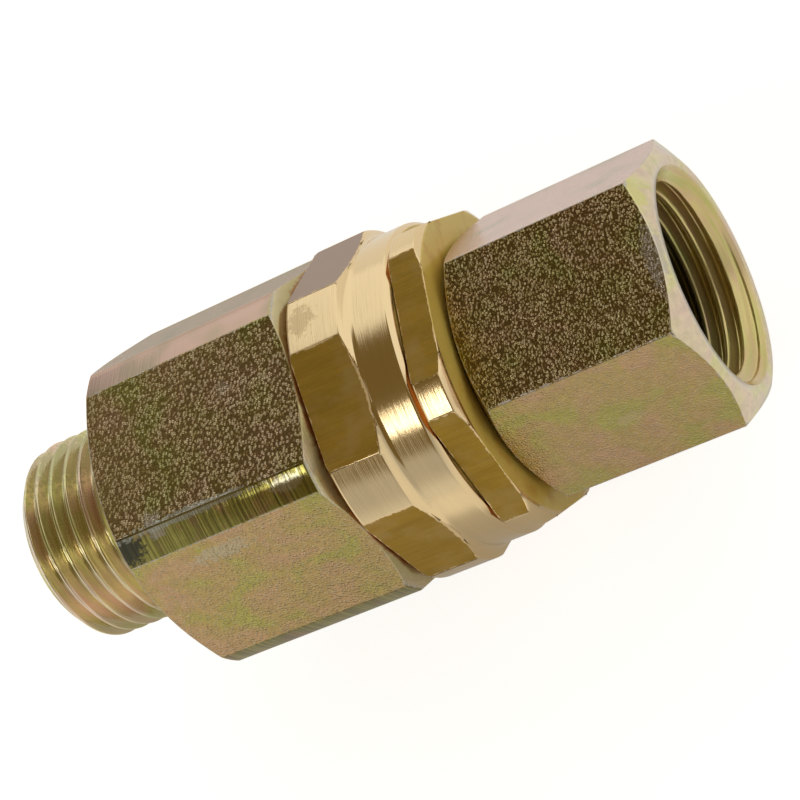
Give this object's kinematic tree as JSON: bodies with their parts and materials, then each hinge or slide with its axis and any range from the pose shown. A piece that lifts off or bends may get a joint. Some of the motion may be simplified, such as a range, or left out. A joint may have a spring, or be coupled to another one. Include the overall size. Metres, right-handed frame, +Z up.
{
  "type": "hydraulic swivel joint",
  "caption": "Straight inline swivel joint for a hydraulic line: hexagonal steel housing with a male pipe thread, two brass nuts, and a hexagonal female port that turns freely.",
  "frame": {"origin": "on the swivel axis, in the plane of the housing's shoulder behind the male stub", "axes": "+X along the swivel axis from the male stub to the female port, +Z up, square to one flat of the housing"},
  "size_m": [0.0736, 0.0354, 0.0336],
  "materials": {
    "zinc_steel": "yellow zinc plated, satin",
    "brass": "turned and brushed",
    "ground_steel": "ground",
    "bronze": "satin",
    "seal_plastic": "matt",
    "seal_rubber": "matt"
  },
  "bodies": {
    "stator": {"male_housing": "zinc_steel", "bearing_nut": "brass", "gland_nut": "brass", "seal_seat_ring": "ground_steel", "pressure_seal_ring": "seal_plastic", "pressure_seal_energizer": "seal_rubber", "seal_backup_ring": "seal_plastic", "guide_bush": "bronze", "inner_thrust_washer": "bronze", "outer_thrust_washer": "bronze", "nut_o_ring": "seal_rubber", "gland_spacer_washer": "ground_steel", "gland_packing_ring": "seal_plastic", "dust_wiper": "seal_rubber"},
    "rotor": {"spindle": "ground_steel", "female_body": "zinc_steel", "spindle_o_ring": "seal_rubber"}
  },
  "joints": [
    {"name": "swivel", "type": "hinge", "parent": "stator", "child": "rotor", "pos_m": [0.02, 0, 0], "axis": [1, 0, 0], "continuous": true}
  ]
}
